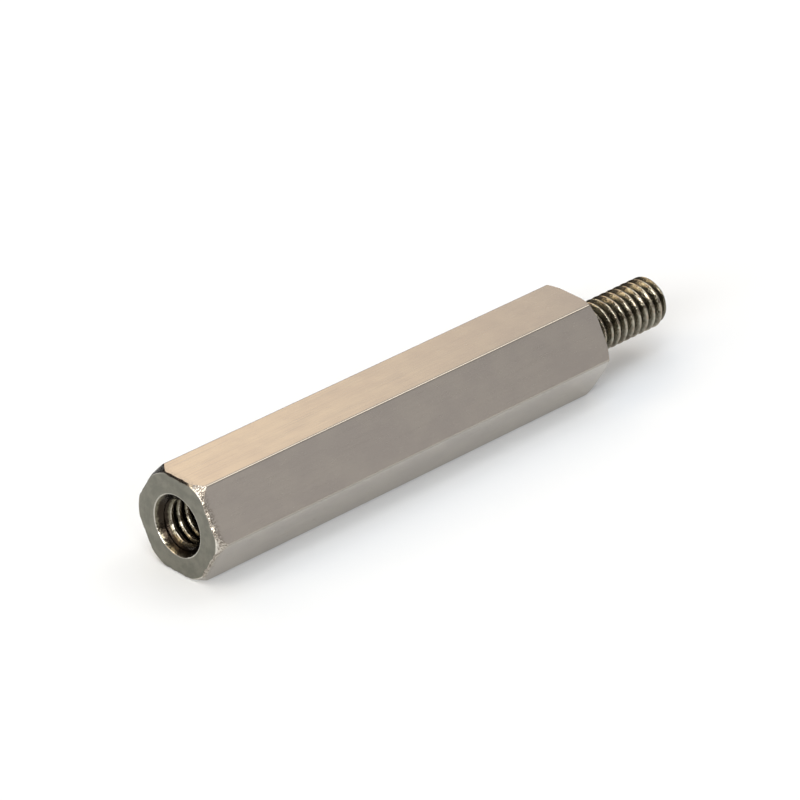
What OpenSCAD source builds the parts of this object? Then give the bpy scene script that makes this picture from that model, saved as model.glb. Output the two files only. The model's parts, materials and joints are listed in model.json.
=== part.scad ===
// Male-female hex standoff: one piece of hexagon bar, turned down to a threaded stud at one end
// and drilled, tapped and countersunk at the other. Sizes are in millimetres.
// It lies along X on one of its flats, with the stud towards +X. The origin is on the surface
// that it lies on, midway along its whole length.
// Threads are drawn plain: the stud at its outside diameter, the hole at its tapping diameter.

/* [Hexagon] */
// Width across two opposite flats
across_flats = 7.94; // [6.5:0.01:14]
// Length of the hexagon, from the socket face to the shoulder
body_length = 41.28; // [20:0.01:80]
// Radius that the drawing die leaves along the six long edges
long_edge_radius = 0.25; // [0.05:0.05:0.5]

/* [End chamfers] */
// How far outside the flats the circle runs that cuts the corners off the socket face
socket_corner_margin = 0.16; // [0.05:0.01:0.35]
// Angle between the chamfer at the socket end and the socket face
socket_chamfer_angle = 63; // [20:1:70]
// How far outside the flats the circle runs that cuts the corners off the shoulder face
shoulder_corner_margin = 0.09; // [0.05:0.01:0.35]
// Angle between the chamfer at the shoulder end and the shoulder face
shoulder_chamfer_angle = 35; // [20:1:70]

/* [Thread] */
// Outside diameter of the thread, the same on the stud and in the hole
thread_diameter = 4.17; // [3:0.01:5.5]
// Advance of the thread in one turn
thread_pitch = 0.794; // [0.5:0.001:1]

/* [Stud] */
// Length of the stud, from the shoulder to its tip
stud_length = 9.53; // [4:0.01:20]
// Size of the 45 degree chamfer on the stud's tip
tip_chamfer = 0.7; // [0.3:0.05:1.2]

/* [Tapped hole] */
// Depth of full thread, from the socket face
tapped_depth = 12.7; // [5:0.1:14]
// Turns of bare drilled wall below the full thread, left for the tap's lead
tap_lead_turns = 3; // [1:1:4]
// Included angle of the drill's point
drill_point_angle = 118; // [90:1:140]
// How much wider than the thread the countersink opens, on each side
countersink_margin = 0.4; // [0.1:0.05:0.8]
// Included angle of the countersink
countersink_angle = 90; // [60:1:120]

/* [Hidden] */

// Smooth enough for a preview
$fn = 96;
// Distance that a cut runs past the face it opens on
overshoot = 0.5;
// How far a corner arc stands proud of its two flats, so that it crosses them cleanly
arc_overlap = 0.0005;
flats = 6;
half_flat_angle = 180 / flats;

total_length = body_length + stud_length;
flat_radius = across_flats / 2;
sharp_corner_radius = flat_radius / cos(half_flat_angle);

socket_face_radius = flat_radius + socket_corner_margin;
socket_chamfer_length =
    (sharp_corner_radius - socket_face_radius) * tan(socket_chamfer_angle);
shoulder_face_radius = flat_radius + shoulder_corner_margin;
shoulder_chamfer_length =
    (sharp_corner_radius - shoulder_face_radius) * tan(shoulder_chamfer_angle);

stud_radius = thread_diameter / 2;
tap_drill_radius = (thread_diameter - thread_pitch) / 2;
drilled_depth = tapped_depth + tap_lead_turns * thread_pitch;
drill_point_length = tap_drill_radius / tan(drill_point_angle / 2);

countersink_slope = tan(countersink_angle / 2);
countersink_radius = stud_radius + countersink_margin;
countersink_depth = (countersink_radius - tap_drill_radius) / countersink_slope;

// Unit vector in the section's plane
function heading(angle) = [cos(angle), sin(angle)];

// Direction of a corner: halfway between two flats
function corner_angle(corner) = (2 * corner + 1) * half_flat_angle;

// Centre of the arc that rounds a corner and meets both of its flats smoothly
function arc_centre(corner) =
    heading(corner_angle(corner)) * (flat_radius - long_edge_radius) / cos(half_flat_angle);

// The bar's section: straight flats between the points where the corner arcs begin and end
module rounded_hexagon() {
    polygon([
        for (corner = [0 : flats - 1], side = [-1, 1])
            arc_centre(corner)
                + long_edge_radius * heading(corner_angle(corner) + side * half_flat_angle)
    ]);
    for (corner = [0 : flats - 1])
        translate(arc_centre(corner)) circle(r = long_edge_radius + arc_overlap);
}

// All that the lathe leaves: both chamfered ends, the shoulder and the stud with its tip
module turned_outline() {
    rotate_extrude() polygon([
        [0, 0],
        [socket_face_radius, 0],
        [sharp_corner_radius, socket_chamfer_length],
        [sharp_corner_radius, body_length - shoulder_chamfer_length],
        [shoulder_face_radius, body_length],
        [stud_radius, body_length],
        [stud_radius, total_length - tip_chamfer],
        [stud_radius - tip_chamfer, total_length],
        [0, total_length]
    ]);
}

// The space that the countersink and the tapping drill take out, from the socket face inwards
module tapped_hole() {
    rotate_extrude() polygon([
        [0, -overshoot],
        [countersink_radius + overshoot * countersink_slope, -overshoot],
        [tap_drill_radius, countersink_depth],
        [tap_drill_radius, drilled_depth],
        [0, drilled_depth + drill_point_length]
    ]);
}

// The whole part, standing on its socket face
module upright_standoff() {
    difference() {
        intersection() {
            linear_extrude(height = total_length) rounded_hexagon();
            turned_outline();
        }
        tapped_hole();
    }
}

module hex_standoff() {
    color([0.74, 0.71, 0.65])
        translate([-total_length / 2, 0, flat_radius]) rotate([0, 90, 0]) upright_standoff();
}

hex_standoff();
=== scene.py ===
import json
import math

import bmesh
import bpy
import numpy as np
from mathutils import Matrix, Vector


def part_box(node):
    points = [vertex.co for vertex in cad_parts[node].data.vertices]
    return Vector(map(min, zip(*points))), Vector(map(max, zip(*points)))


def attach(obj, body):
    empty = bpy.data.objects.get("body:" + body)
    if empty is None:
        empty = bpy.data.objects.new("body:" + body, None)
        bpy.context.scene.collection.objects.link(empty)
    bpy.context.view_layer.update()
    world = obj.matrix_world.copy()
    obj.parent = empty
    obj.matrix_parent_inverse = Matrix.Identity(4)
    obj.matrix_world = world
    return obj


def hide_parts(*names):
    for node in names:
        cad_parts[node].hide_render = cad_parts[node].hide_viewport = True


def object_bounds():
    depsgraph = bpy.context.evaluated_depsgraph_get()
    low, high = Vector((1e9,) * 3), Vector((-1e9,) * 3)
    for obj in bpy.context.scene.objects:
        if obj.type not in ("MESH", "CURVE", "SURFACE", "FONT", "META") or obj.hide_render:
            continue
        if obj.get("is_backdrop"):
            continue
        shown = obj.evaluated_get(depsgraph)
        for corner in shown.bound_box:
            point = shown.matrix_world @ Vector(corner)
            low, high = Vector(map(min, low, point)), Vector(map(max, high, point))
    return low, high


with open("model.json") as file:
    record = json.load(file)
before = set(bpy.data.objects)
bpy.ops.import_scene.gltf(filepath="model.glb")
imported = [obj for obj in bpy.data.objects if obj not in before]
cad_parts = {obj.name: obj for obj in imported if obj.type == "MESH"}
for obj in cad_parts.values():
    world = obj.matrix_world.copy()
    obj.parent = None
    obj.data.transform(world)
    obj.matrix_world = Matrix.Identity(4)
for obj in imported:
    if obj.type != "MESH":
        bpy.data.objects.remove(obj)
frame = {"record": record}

cad_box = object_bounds()

# A hex standoff that lies on one of its flats, with its stud towards +X. Lengths are in metres.
MM = 0.001
THIRTY = math.radians(30)
TURN = 2 * math.pi

# ---------------------------------------------------------------- sizes
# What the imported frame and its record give.
low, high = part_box("hex_standoff")
mounts = {mount["name"]: mount for mount in frame["record"]["mounts"]}
socket_x = low.x
tip_x = high.x
shoulder_x = mounts["shoulder_face"]["pos_m"][0]
axis_z = (low.z + high.z) / 2
flat_radius = (high.z - low.z) / 2
corner_tip_radius = (high.y - low.y) / 2
stud_radius = mounts["stud"]["dims"]["r_mm"] * MM
tap_drill_radius = mounts["tapped_hole"]["dims"]["r_mm"] * MM

# A tap drill is one pitch smaller across than the thread.
pitch = 2 * (stud_radius - tap_drill_radius)

# The die's radius on the long edges follows from how far the corners fall short of sharp ones.
sharp_corner_radius = flat_radius / math.cos(THIRTY)
long_edge_radius = (sharp_corner_radius - corner_tip_radius) / (1 / math.cos(THIRTY) - 1)

# The same corner chamfers, countersink, hole and stud tip as the CAD model has.
socket_corner_radius = flat_radius + 0.16 * MM
socket_chamfer_slope = math.tan(math.radians(63))
shoulder_corner_radius = flat_radius + 0.09 * MM
shoulder_chamfer_slope = math.tan(math.radians(35))
countersink_radius = stud_radius + 0.4 * MM
countersink_slope = math.tan(math.radians(90 / 2))
tip_chamfer = 0.7 * MM
tapped_depth = 12.7 * MM
tap_lead = 3 * pitch
drill_point = tap_drill_radius / math.tan(math.radians(118 / 2))

# Threads: 60 degree flanks, cut from the turned stud and from the drilled hole.
flank_run = math.tan(THIRTY)
external_depth = 0.6134 * pitch
external_crest = pitch / 16
internal_depth = 0.5413 * pitch
internal_crest = pitch / 8
stud_runout = 0.6 * pitch
hole_phase = 0.10  # where the thread in the hole starts, in turns
mouth = (countersink_radius - tap_drill_radius - internal_depth) / countersink_slope

# How softly a thread bends into its flanks, as a share of its depth.
root_bend = 0.12
hole_crest_bend = 0.3
stud_crest_bend = 0.25

# What tumbling and the tools leave at the edges: how much is broken off, and how round it is.
socket_edge_break = 0.12 * MM
shoulder_edge_break = 0.06 * MM
socket_rounding = 0.08 * MM
shoulder_rounding = 0.05 * MM
fine_rounding = 0.06 * MM
most_of_a_side = 0.45  # the most of a side that the rounding at one end of it may take

# Waves round the socket rim that make its broken edge uneven: how many, their start and height.
NIBBLES = ((23, 1, 0.45), (41, 2, 0.35), (62, 0, 0.2))

# How far wear reaches from an edge, and how far from it the metal is quite bare.
wear_reach = 0.10 * MM
lip_wear = 0.08 * MM
# How far in from the long edges the painted shade on the flats reaches.
long_edge_shade_reach = 0.03 * MM
bare_reach = 0.02 * MM

# How dark the hole is painted, with grime and painted shade together, on a scale with 0 for a crest of
# the stud's thread and 1 for its root.
hole_crest_grime_and_shade = 0.05
hole_root_grime_and_shade = 1.75
# The countersink gets painted shade.
countersink_shade = 0.55
most_grime_and_shade = 1.5

# How bare the crests in the hole are, up to 1.
crest_polish = 0.85


# ---------------------------------------------------------------- the turned and threaded bar
def section(corner_steps=6, flat_steps=20):
    """Angle about the axis and bar radius of points round the hexagon, starting on a corner."""
    arc_centre = (flat_radius - long_edge_radius) / math.cos(THIRTY)
    arc = []
    for step in range(corner_steps + 1):
        turn = (2 * step / corner_steps - 1) * THIRTY
        along = arc_centre + long_edge_radius * math.cos(turn)
        across = long_edge_radius * math.sin(turn)
        arc.append((math.atan2(across, along), math.hypot(along, across)))
    half_flat = THIRTY - arc[-1][0]
    flat = []
    for step in range(1, flat_steps):
        lean = (2 * step / flat_steps - 1) * half_flat
        flat.append((THIRTY + lean, flat_radius / math.cos(lean)))
    points = [(angle + side * 2 * THIRTY, radius) for side in range(6) for angle, radius in arc + flat]
    points.append((points[0][0] + TURN, points[0][1]))
    return np.array(points).T


# One column of vertices runs the length of the part at each of these angles.
angles, bar_radius = section()


def ring(x, radius):
    """One ring of (x, radius) points, a point for each column. Either may vary round the ring."""
    shape = angles.shape
    return np.stack([np.broadcast_to(x, shape), np.broadcast_to(radius, shape)], axis=1)


def lengths(steps):
    """How long each column's step is."""
    return np.linalg.norm(steps, axis=1, keepdims=True)


def lathe_rings(corners, steps=4):
    """Rings along a turned outline, rounded at its corners. Each corner is (x, radius, rounding)."""
    points = [ring(x, radius) for x, radius, _ in corners]
    rings = [points[0]]
    for before, here, after, (_, _, rounding) in zip(points, points[1:], points[2:], corners[1:]):
        back, on = before - here, after - here
        back_length, on_length = lengths(back), lengths(on)
        back, on = back / back_length, on / on_length
        bend = math.pi - np.arccos(np.clip((back * on).sum(axis=1, keepdims=True), -1, 1))
        room = most_of_a_side * np.minimum(back_length, on_length)
        reach = np.minimum(rounding * np.tan(bend / 2), room)
        for step in range(steps + 1 if rounding else 1):
            share = step / steps
            rings.append(here + (1 - share) ** 2 * reach * back + share**2 * reach * on)
    return rings + [points[-1]]


def soft_clip(value, low_bend, high_bend):
    """value held between 0 and 1, with each bend rounded over its own width to both sides."""
    low = np.clip(value + low_bend, 0, 2 * low_bend) ** 2 / (4 * low_bend)
    high = 1 - np.clip(1 + high_bend - value, 0, 2 * high_bend) ** 2 / (4 * high_bend)
    middle = np.where(value < 1 - high_bend, value, high)
    return np.where(value < low_bend, low, middle)


def ridge(phase, depth, crest, crest_bend):
    """Height of a 60 degree thread over its root, from 0 to 1, at a phase in turns from a crest."""
    away = np.abs((phase + 0.5) % 1 - 0.5) * pitch
    return soft_clip(1 - (away - crest) / (depth * flank_run), root_bend, crest_bend)


def thread_rings(start, end, radius_at, rows=14):
    """Rings that follow a right-hand helix. radius_at gives the radius at an x and a phase."""
    turns = math.ceil((end - start) / pitch)
    rings = []
    for row in range(-rows, (turns + 1) * rows):
        x = np.clip(start + (row / rows + angles / TURN) * pitch, start, end)
        rings.append(ring(x, radius_at(x, (x - start) / pitch - angles / TURN)))
    return rings


def hole_thread_radius(x, phase):
    """The thread in the hole, which the tap's lead and the countersink cut short."""
    depth = x - socket_x
    height = ridge(phase + hole_phase, internal_depth, internal_crest, hole_crest_bend)
    thread = tap_drill_radius + internal_depth - internal_depth * height
    lead = np.clip((tapped_depth + tap_lead - depth) / tap_lead, 0, 1)
    thread = np.minimum(thread, tap_drill_radius + internal_depth * lead)
    return np.maximum(thread, countersink_radius - depth * countersink_slope)


def stud_thread_radius(x, phase):
    """The thread on the stud, which runs out at the shoulder and is cut by the cone of the tip."""
    height = ridge(phase, external_depth, external_crest, stud_crest_bend)
    thread = stud_radius - external_depth * (1 - height)
    started = stud_radius - external_depth * np.clip((x - shoulder_x) / stud_runout, 0, 1)
    tip_cone = stud_radius - tip_chamfer + (tip_x - x)
    return np.minimum(np.maximum(thread, started), tip_cone)


def hole_rings():
    """From the drill point out to the countersink."""
    hole_end = socket_x + tapped_depth + tap_lead
    thread = thread_rings(socket_x + mouth, hole_end, hole_thread_radius)
    return [ring(hole_end + drill_point, 0)] + thread[::-1]


def uneven_edge_break():
    """The socket end's broken edge: nibbled, and heaviest on the side that faces the camera."""
    nibbles = sum(height * np.sin(count * angles + start) for count, start, height in NIBBLES)
    return socket_edge_break * (1 + 0.4 * nibbles) * (1 - 0.5 * np.cos(angles))


def socket_end_rings():
    """From the countersink over the end face and its chamfer to the middle of the part."""
    edge_break = uneven_edge_break()
    rim = np.minimum(bar_radius - edge_break, socket_corner_radius)
    chamfer = np.maximum((bar_radius - socket_corner_radius) * socket_chamfer_slope, edge_break)
    return lathe_rings([
        (socket_x + mouth, tap_drill_radius + internal_depth, 0),
        (socket_x + lip_wear, countersink_radius - lip_wear / countersink_slope, 0),
        (socket_x, countersink_radius, fine_rounding),
        (socket_x, countersink_radius + lip_wear, 0),
        (socket_x, rim - wear_reach, 0),
        (socket_x, rim, socket_rounding),
        (socket_x + chamfer / 2, (rim + bar_radius) / 2, 0),
        (socket_x + chamfer, bar_radius, socket_rounding),
        (0, bar_radius, 0),
    ])


def shoulder_end_rings():
    """From the middle of the part over the other chamfer and the shoulder to the stud's foot."""
    rim = np.minimum(bar_radius - shoulder_edge_break, shoulder_corner_radius)
    corner_depth = (bar_radius - shoulder_corner_radius) * shoulder_chamfer_slope
    chamfer = np.maximum(corner_depth, shoulder_edge_break)
    return lathe_rings([
        (0, bar_radius, 0),
        (shoulder_x - chamfer, bar_radius, shoulder_rounding),
        (shoulder_x, rim, shoulder_rounding),
        (shoulder_x, stud_radius, 0),
    ])


def stud_rings():
    """The threaded stud, and its tip as far as the axis."""
    thread_end = tip_x - tip_chamfer + external_depth
    return thread_rings(shoulder_x, thread_end, stud_thread_radius) + lathe_rings([
        (thread_end, stud_radius - tip_chamfer + (tip_x - thread_end), 0),
        (tip_x, stud_radius - tip_chamfer, fine_rounding),
        (tip_x, 0, 0),
    ])


def build_standoff():
    """The whole part as one closed mesh, skinned over its rings."""
    rings = hole_rings() + socket_end_rings() + shoulder_end_rings() + stud_rings()
    columns = len(angles)
    directions = list(zip(np.cos(angles), np.sin(angles)))
    vertices = [
        (x, radius * across, axis_z + radius * up)
        for points in rings
        for (x, radius), (across, up) in zip(points, directions)
    ]
    faces = [
        (first + column, first + column + 1, first + columns + column + 1, first + columns + column)
        for first in range(0, (len(rings) - 1) * columns, columns)
        for column in range(columns - 1)
    ]
    mesh = bpy.data.meshes.new("standoff_turned")
    mesh.from_pydata(vertices, [], faces)
    shaped = bmesh.new()
    shaped.from_mesh(mesh)
    bmesh.ops.remove_doubles(shaped, verts=shaped.verts, dist=0.0001 * MM)
    bmesh.ops.recalc_face_normals(shaped, faces=shaped.faces)
    for face in shaped.faces:
        face.smooth = True
    shaped.to_mesh(mesh)
    shaped.free()
    standoff = bpy.data.objects.new("standoff_turned", mesh)
    bpy.context.scene.collection.objects.link(standoff)
    weighted = standoff.modifiers.new("even_normals", "WEIGHTED_NORMAL")
    weighted.mode = "FACE_AREA"
    return standoff


# ---------------------------------------------------------------- where it is dirty and worn
def smoothstep(low, high, value):
    """Rises smoothly from 0 to 1 as the value goes from low to high."""
    share = np.clip((value - low) / (high - low), 0, 1)
    return share * share * (3 - 2 * share)


def mark(standoff):
    """Stores on each vertex how deep in a groove it is, which sets its grime and painted shade, how
    worn it is, and how near a long edge, where the flats get painted shade.
    """
    mesh = standoff.data
    places = np.empty(3 * len(mesh.vertices), dtype=np.float32)
    mesh.vertices.foreach_get("co", places)
    x, y, z = places.reshape(-1, 3).T
    radius = np.hypot(y, z - axis_z)
    on_stud = x > shoulder_x
    in_hole = (x < 0) & (radius < countersink_radius + lip_wear / 2)
    countersunk = in_hole & (x < socket_x + mouth)
    tapped = in_hole & (x > socket_x + mouth)

    # In a groove, grime and painted shade rise from the crest to the root. The hole and its
    # countersink get more painted shade than the stud.
    rise = hole_root_grime_and_shade - hole_crest_grime_and_shade
    in_thread = hole_crest_grime_and_shade + rise * (radius - tap_drill_radius) / internal_depth
    groove = np.where(on_stud, (stud_radius - radius) / external_depth, 0)
    groove = np.where(in_hole, in_thread, groove)
    groove = np.where(countersunk, countersink_shade, groove)

    # The rims at the socket end are worn, and the crests in the hole are polished.
    rim = smoothstep(bare_reach, wear_reach, np.hypot(x - socket_x, radius - socket_corner_radius))
    lip = smoothstep(bare_reach, lip_wear, np.hypot(x - socket_x, radius - countersink_radius))
    worn = 1 - np.minimum(rim, lip)
    crest = 1 - smoothstep(hole_crest_grime_and_shade, 0.5, groove)
    worn = np.where(tapped, crest_polish * crest, worn)

    # Near the long edges the flats are marked for painted shade.
    long_edge_shade = smoothstep(corner_tip_radius - long_edge_shade_reach, corner_tip_radius, radius)
    marks = {"groove": np.clip(groove, 0, most_grime_and_shade), "worn": worn, "long_edge_shade": long_edge_shade}
    for name, values in marks.items():
        layer = mesh.attributes.new(name, "FLOAT", "POINT")
        layer.data.foreach_set("value", values.astype(np.float32))


# ---------------------------------------------------------------- materials
class Nodes:
    """Adds nodes to a node tree. An input is a plain value, or the socket that feeds it."""

    def __init__(self, tree):
        self.tree = tree

    def feed(self, socket, value):
        if isinstance(value, bpy.types.NodeSocket):
            self.tree.links.new(value, socket)
        else:
            socket.default_value = value

    def node(self, kind, inputs=(), **settings):
        """A new node. Its inputs go by name or number."""
        node = self.tree.nodes.new(kind)
        for setting, value in settings.items():
            setattr(node, setting, value)
        for socket, value in dict(inputs).items():
            self.feed(node.inputs[socket], value)
        return node

    def maths(self, operation, first, second):
        return self.node("ShaderNodeMath", {0: first, 1: second}, operation=operation).outputs[0]

    def vector(self, operation, first, second=(0, 0, 0), result="Vector"):
        inputs = {0: first, 1: second}
        return self.node("ShaderNodeVectorMath", inputs, operation=operation).outputs[result]

    def ramp(self, value, from_low, from_high, to_low=0.0, to_high=1.0):
        """Goes smoothly from to_low to to_high as the value goes from from_low to from_high."""
        inputs = {
            "Value": value,
            "From Min": from_low,
            "From Max": from_high,
            "To Min": to_low,
            "To Max": to_high,
        }
        return self.node("ShaderNodeMapRange", inputs, interpolation_type="SMOOTHSTEP").outputs[0]

    def mix(self, factor, first, second):
        """A blend of two colours."""
        inputs = {0: factor, 6: first, 7: second}
        return self.node("ShaderNodeMix", inputs, data_type="RGBA").outputs[2]


class Finish(Nodes):
    """A metal material. Places and textures are in millimetres, from the middle of the part."""

    def __init__(self, name):
        self.material = bpy.data.materials.new(name)
        self.material.use_nodes = True
        super().__init__(self.material.node_tree)
        self.shader = self.tree.nodes["Principled BSDF"]
        self.shader.inputs["Metallic"].default_value = 1
        place = self.node("ShaderNodeTexCoord").outputs["Object"]
        place = self.vector("SUBTRACT", place, (0, 0, axis_z))
        self.place = self.vector("MULTIPLY", place, (1 / MM, 1 / MM, 1 / MM))

    def coordinate(self, axis):
        """How far along "X", "Y" or "Z" a point is."""
        return self.node("ShaderNodeSeparateXYZ", {0: self.place}).outputs[axis]

    def attribute(self, name):
        """What mark() stored on the vertices under this name."""
        return self.node("ShaderNodeAttribute", attribute_name=name).outputs["Fac"]

    def noise(self, scale, detail, place=None):
        """Noise between about 0.3 and 0.7. scale is its bumps per millimetre along X, Y and Z."""
        stretched = self.vector("MULTIPLY", place or self.place, scale)
        inputs = {"Vector": stretched, "Scale": 1.0, "Detail": detail}
        return self.node("ShaderNodeTexNoise", inputs).outputs[0]

    def mottled(self, noise, dark, pale):
        """A base colour that wanders between two."""
        return self.mix(self.ramp(noise, 0.35, 0.65), dark, pale)

    def covered(self, colour, mask, share, cover):
        """A colour with another one over it, as strongly as share where the mask is 1."""
        return self.mix(self.maths("MULTIPLY", mask, share), colour, cover)

    def bump(self, *heights):
        """Adds (height, millimetres) reliefs on top of one another."""
        normal = None
        for height, depth in heights:
            inputs = {"Height": height, "Distance": depth * MM, "Strength": 1.0}
            if normal:
                inputs["Normal"] = normal
            normal = self.node("ShaderNodeBump", inputs).outputs[0]
        self.feed(self.shader.inputs["Normal"], normal)

    def finish(self, colour, roughness):
        self.feed(self.shader.inputs["Base Color"], colour)
        self.feed(self.shader.inputs["Roughness"], roughness)
        return self.material


# The metal where crests and rims are rubbed bright.
POLISHED = (0.80, 0.77, 0.70, 1)


def drawn_nickel():
    """The flats: streaks along the bar from the die, faint waves, scuffs, nicks, and painted shade
    that darkens the long edges.
    """
    metal = Finish("drawn_nickel")
    streaks = metal.noise((0.15, 9, 9), 3)
    waves = metal.noise((0.5, 0.7, 0.7), 1)
    scuffs = metal.ramp(metal.noise((1.6, 22, 22), 2), 0.66, 0.74)

    # The nicks lie within 0.8 mm of the socket end, and most of them on the camera's side.
    at_socket = metal.ramp(metal.coordinate("X"), socket_x / MM, socket_x / MM + 0.8, 1, 0)
    to_camera = metal.ramp(metal.coordinate("Y"), -3.4, -1.8, 1, 0.25)
    knocked = metal.maths("MULTIPLY", at_socket, to_camera)
    nicks = metal.maths("MULTIPLY", metal.ramp(metal.noise((6, 7, 7), 3), 0.44, 0.56), knocked)

    mottle = metal.noise((0.35, 0.5, 0.5), 4)
    colour = metal.mottled(mottle, (0.485, 0.443, 0.393, 1), (0.515, 0.472, 0.412, 1))
    # Painted shade: the long edges are darkened, to dim what their rounding mirrors.
    colour = metal.covered(colour, metal.attribute("long_edge_shade"), 0.85, (0.33, 0.305, 0.270, 1))
    colour = metal.covered(colour, nicks, 0.8, (0.24, 0.195, 0.155, 1))
    marks = metal.maths("ADD", streaks, metal.maths("MULTIPLY", scuffs, 0.3))
    roughness = metal.ramp(marks, 0.35, 0.9, 0.18, 0.30)
    metal.bump((waves, 0.0045), (streaks, 0.0004), (scuffs, 0.0003), (nicks, 0.014))
    return metal.finish(colour, roughness)


def turned_nickel():
    """The faces cut on the lathe: fine rings round the axis, a duller cut, and a dark base colour that
    also paints in shade.
    """
    metal = Finish("turned_nickel")
    radius = metal.vector("LENGTH", metal.vector("MULTIPLY", metal.place, (0, 1, 1)), result="Value")
    outline = metal.node("ShaderNodeCombineXYZ", {"X": radius, "Y": metal.coordinate("X")}).outputs[0]
    rings = metal.noise((11, 11, 0), 3, outline)
    grain = metal.noise((7, 7, 7), 3)

    mottle = metal.noise((1.1, 1.1, 1.1), 4)
    # This base colour is far darker than the flats': partly a duller cut, partly painted shade.
    colour = metal.mottled(mottle, (0.175, 0.173, 0.145, 1), (0.220, 0.214, 0.180, 1))
    colour = metal.covered(colour, metal.ramp(metal.attribute("worn"), 0.2, 1), 0.5, POLISHED)
    roughness = metal.ramp(metal.maths("ADD", rings, grain), 0.7, 1.3, 0.30, 0.46)
    metal.bump((grain, 0.003), (rings, 0.0025))
    return metal.finish(colour, roughness)


def chamfered_nickel():
    """The cones that take the corners off: a brighter cut with chatter marks, nicks, and a painted
    dark reflection.
    """
    metal = Finish("chamfered_nickel")
    chatter = metal.noise((1.2, 9, 9), 2)
    nicks = metal.ramp(metal.noise((5, 12, 12), 3), 0.48, 0.60)
    mottle = metal.noise((2.5, 2.5, 2.5), 3)

    # A near-black colour covers the chamfer at the socket end, except on the camera's side. It is a
    # painted dark reflection.
    wander = metal.ramp(mottle, 0.3, 0.7, -0.4, 0.4)
    away = metal.ramp(metal.maths("ADD", metal.coordinate("Y"), wander), -1.5, -0.6)
    at_socket = metal.ramp(metal.coordinate("X"), -5, 5, 1, 0)
    dark_reflection = metal.maths("MULTIPLY", away, at_socket)

    bright = metal.ramp(metal.attribute("worn"), 0.3, 1)
    colour = metal.mottled(mottle, (0.43, 0.39, 0.34, 1), (0.57, 0.525, 0.46, 1))
    colour = metal.covered(colour, nicks, 0.75, (0.10, 0.078, 0.058, 1))
    colour = metal.covered(colour, bright, 0.8, (0.85, 0.82, 0.75, 1))
    # The painted dark reflection goes over the chamfer away from the camera.
    colour = metal.covered(colour, dark_reflection, 0.92, (0.010, 0.008, 0.006, 1))
    roughness = metal.ramp(chatter, 0.35, 0.65, 0.12, 0.24)
    metal.bump((chatter, 0.016), (nicks, 0.010))
    return metal.finish(colour, roughness)


def threaded_nickel():
    """The threads: a speckled cut, with brown grime and painted shade in the grooves, and painted
    black shade at their roots.
    """
    metal = Finish("threaded_nickel")
    speckle = metal.noise((4.5, 4.5, 4.5), 3)
    groove = metal.attribute("groove")
    grime_and_shade = metal.ramp(metal.maths("ADD", metal.maths("MULTIPLY", groove, 1.4), speckle), 0.45, 1.15)
    root_shade = metal.ramp(metal.maths("ADD", groove, speckle), 1.1, 1.6)

    mottle = metal.noise((3.2, 3.2, 3.2), 3)
    colour = metal.mottled(mottle, (0.36, 0.30, 0.235, 1), (0.46, 0.44, 0.36, 1))
    # Grime and painted shade darken the grooves, and painted shade blackens their roots.
    colour = metal.covered(colour, grime_and_shade, 0.9, (0.125, 0.115, 0.083, 1))
    colour = metal.covered(colour, root_shade, 0.9, (0.018, 0.012, 0.009, 1))
    colour = metal.covered(colour, metal.ramp(metal.attribute("worn"), 0.2, 1), 0.7, POLISHED)
    deposit = metal.maths("ADD", speckle, metal.maths("MULTIPLY", groove, 0.2))
    roughness = metal.ramp(deposit, 0.35, 1.0, 0.06, 0.22)
    metal.bump((speckle, 0.035))
    return metal.finish(colour, roughness)


FINISHES = (drawn_nickel, turned_nickel, chamfered_nickel, threaded_nickel)
DRAWN, TURNED, CHAMFERED, THREADED = range(len(FINISHES))


def finish_of(face):
    """Which finish a face has, from its place and how far it turns towards an end of the bar."""
    x, y, z = face.center
    radius = math.hypot(y, z - axis_z)
    in_hole = x < 0 and radius < countersink_radius
    on_stud = x > shoulder_x and radius < stud_radius
    lean = abs(face.normal.x)
    end_on = lean > 0.97
    if in_hole or (on_stud and not end_on):
        return THREADED
    if end_on:
        return TURNED
    return CHAMFERED if lean > 0.03 else DRAWN


def add_finishes(standoff):
    """Gives the standoff its materials, and each face the one of its surface."""
    for finish in FINISHES:
        standoff.data.materials.append(finish())
    for face in standoff.data.polygons:
        face.material_index = finish_of(face)


standoff = build_standoff()
mark(standoff)
add_finishes(standoff)
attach(standoff, "root")
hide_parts("hex_standoff")


# ---------------------------------------------------------------- floor and light
FLOOR_REACH = 20.0
# A little blue, because the light that falls on it is a little warm.
FLOOR_COLOUR = (0.79, 0.83, 0.87, 1)
# What the floor adds to the light that it sends back, to be just white where nothing shades it.
FLOOR_LIFT = 0.11


def make_floor():
    """Plain paper, which keeps the object's shadow."""
    near, far = -FLOOR_REACH, FLOOR_REACH
    corners = [(near, near, 0), (far, near, 0), (far, far, 0), (near, far, 0)]
    mesh = bpy.data.meshes.new("floor")
    mesh.from_pydata(corners, [], [(0, 1, 2, 3)])
    floor = bpy.data.objects.new("floor", mesh)
    bpy.context.scene.collection.objects.link(floor)
    material = bpy.data.materials.new("floor_paper")
    material.use_nodes = True
    paper = Nodes(material.node_tree)
    shader = paper.tree.nodes["Principled BSDF"]
    shader.inputs["Base Color"].default_value = FLOOR_COLOUR
    shader.inputs["Roughness"].default_value = 1
    shader.inputs["Specular IOR Level"].default_value = 0
    shader.inputs["Emission Color"].default_value = (1, 1, 1, 1)
    # Only the camera and surfaces that mirror the floor see the lift.
    rays = paper.node("ShaderNodeLightPath").outputs
    seen = paper.maths("MAXIMUM", rays["Is Camera Ray"], rays["Is Glossy Ray"])
    seen = paper.maths("MAXIMUM", seen, rays["Is Transmission Ray"])
    paper.feed(shader.inputs["Emission Strength"], paper.maths("MULTIPLY", seen, FLOOR_LIFT))
    mesh.materials.append(material)
    floor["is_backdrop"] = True


make_floor()

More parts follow.
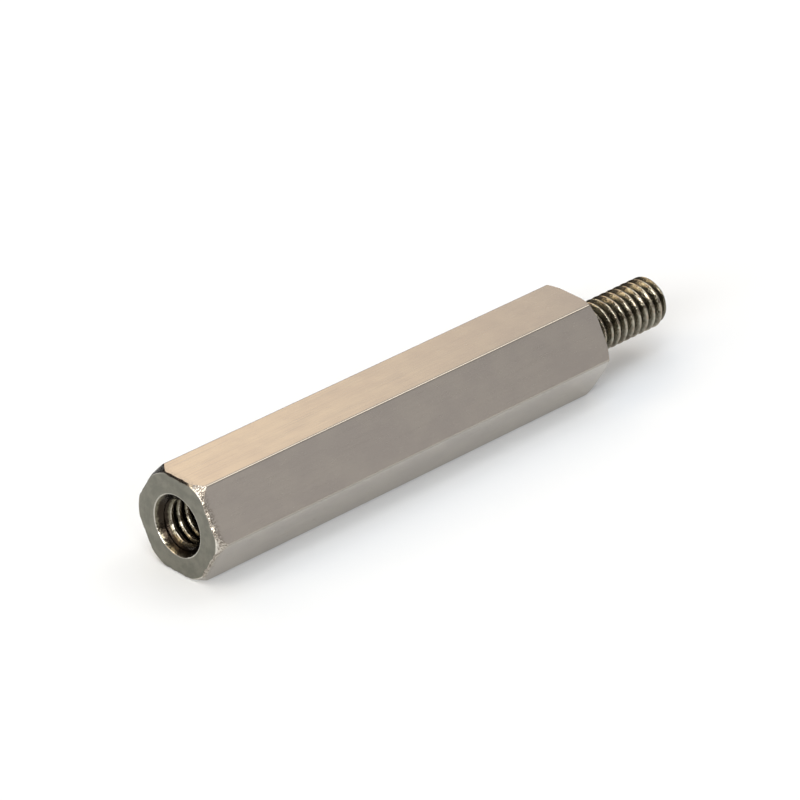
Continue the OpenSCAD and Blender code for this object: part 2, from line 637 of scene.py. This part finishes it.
# The world is a soft grey, with lights and dark places on it for the bright metal to mirror.
# Each patch has a direction, half the angle to its inner and outer edge in degrees, and a colour.
# Left and right are as the camera sees them.
WORLD_COLOUR = (0.65, 0.635, 0.64)
WORLD_PATCHES = (
    # A broad light overhead, and the dark end of the studio beyond the stud.
    ((0.10, 0.40, 0.91), 16, 34, (0.92, 1.00, 1.12)),
    ((0.98, -0.05, 0.20), 20, 48, (0.2, 0.19, 0.19)),
    # The lights that the long edge below the top flat and the top flat itself mirror.
    ((0.61, 0.02, 0.79), 8, 15, (3.1, 2.9, 2.65)),
    ((0.42, 0.74, 0.53), 8, 19, (1.78, 1.47, 1.15)),
    # Dark places on the left and behind the object, then at the camera and to its right.
    ((-0.75, 0.60, 0.25), 44, 60, (0.22, 0.195, 0.175)),
    ((0.10, 0.99, 0.02), 25, 35, (0.03, 0.025, 0.02)),
    ((-0.62, -0.65, 0.42), 28, 42, (0.28, 0.255, 0.235)),
    ((-0.10, -0.85, 0.50), 24, 38, (0.27, 0.26, 0.255)),
    # Small warm lights on the left, for streaks on the threads.
    ((-0.86, 0.36, 0.37), 10, 16, (3.0, 2.5, 1.85)),
    ((-0.55, 0.33, 0.77), 9, 15, (2.6, 2.2, 1.65)),
    ((-0.02, 0.70, 0.71), 7, 15, (3.0, 2.5, 1.9)),
    # Small white lights on the camera's side, for glints on the socket end and in the hole.
    ((-0.32, -0.77, 0.55), 6, 9, (5.0, 4.9, 4.7)),
    ((-0.78, -0.40, 0.48), 7, 11, (8.5, 8.3, 8.0)),
    ((-0.89, -0.26, 0.39), 7, 11, (8.5, 8.3, 8.0)),
    ((-0.95, -0.12, 0.27), 7, 11, (8.5, 8.3, 8.0)),
    ((-0.26, -0.20, 0.944), 9, 13, (3.9, 3.8, 3.65)),
    ((-0.53, -0.14, 0.835), 6, 9, (3.5, 3.4, 3.3)),
)


def make_world():
    """Soft light from all sides. Where patches overlap, a later one covers an earlier one."""
    world = bpy.data.worlds.new("studio")
    bpy.context.scene.world = world
    world.use_nodes = True
    studio = Nodes(world.node_tree)
    direction = studio.node("ShaderNodeTexCoord").outputs["Generated"]
    colour = (*WORLD_COLOUR, 1)
    for towards, inner, outer, tint in WORLD_PATCHES:
        closeness = studio.vector("DOT_PRODUCT", direction, Vector(towards).normalized(), "Value")
        inside = studio.ramp(closeness, math.cos(math.radians(outer)), math.cos(math.radians(inner)))
        colour = studio.mix(inside, colour, (*tint, 1))
    studio.feed(studio.tree.nodes["Background"].inputs["Color"], colour)


make_world()

# ---------------------------------------------------------------- camera
CAMERA_AZIMUTH = math.radians(-45.3)
CAMERA_ELEVATION = math.radians(29.26)
CAMERA_ROLL = math.radians(0.88)
# The middle of the socket face in the camera's own axes, in widths across the flats.
SOCKET_FROM_CAMERA = Vector((-2.0294, -1.147, -44.5055))
# In millimetres, as on a real camera.
SENSOR_WIDTH = 36
FOCAL_LENGTH = 220.095


def make_camera():
    """A long lens that looks down at the part from its socket end."""
    back = Vector((
        math.sin(CAMERA_AZIMUTH) * math.cos(CAMERA_ELEVATION),
        -math.cos(CAMERA_AZIMUTH) * math.cos(CAMERA_ELEVATION),
        math.sin(CAMERA_ELEVATION),
    ))
    turn = (-back).to_track_quat("-Z", "Y").to_matrix() @ Matrix.Rotation(CAMERA_ROLL, 3, "Z")
    across_flats = 2 * flat_radius
    place = Vector((socket_x, 0, axis_z)) - turn @ (SOCKET_FROM_CAMERA * across_flats)
    lens = bpy.data.cameras.new("camera")
    lens.sensor_width = SENSOR_WIDTH
    lens.lens = FOCAL_LENGTH
    lens.clip_start = 0.01
    lens.clip_end = 100
    camera = bpy.data.objects.new("camera", lens)
    bpy.context.scene.collection.objects.link(camera)
    camera.matrix_world = Matrix.Translation(place) @ turn.to_4x4()
    bpy.context.scene.camera = camera


make_camera()
bpy.context.scene.view_settings.view_transform = "Standard"

[[list(corner) for corner in box] for box in (cad_box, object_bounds())]
